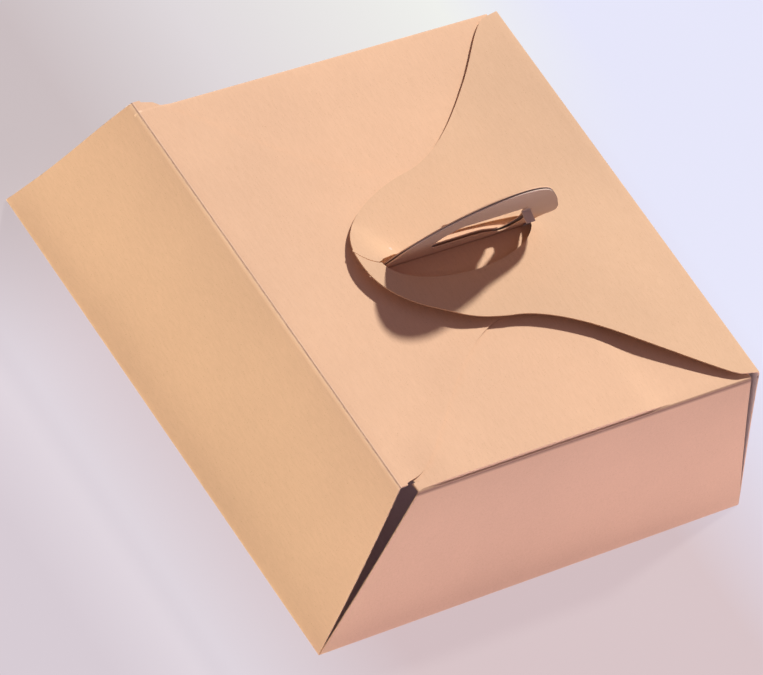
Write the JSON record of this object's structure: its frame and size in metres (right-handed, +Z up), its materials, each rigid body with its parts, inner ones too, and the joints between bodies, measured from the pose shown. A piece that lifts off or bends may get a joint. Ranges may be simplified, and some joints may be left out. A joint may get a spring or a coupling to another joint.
{
  "type": "cake box",
  "caption": "Square card cake carton with sloping walls, petal-shaped closing flaps and a two-ply carrying handle that stands up through the lid.",
  "frame": {"origin": "centre of the base, on the surface it stands on", "axes": "+X from the left wall to the right wall that carries the top flap, +Y from the front wall to the back wall, +Z up"},
  "size_m": [0.2996, 0.2996, 0.1556],
  "materials": {
    "carton_card": "matt uncoated card",
    "flap_card": "matt uncoated card"
  },
  "bodies": {
    "box": {"carton": "carton_card"},
    "lid": {"top_flap": "flap_card"}
  },
  "joints": [
    {"name": "top_flap_hinge", "type": "hinge", "parent": "box", "child": "lid", "pos_m": [0.1247, 0, 0.0957], "axis": [0, 1, 0], "range_deg": [0, 180]}
  ]
}
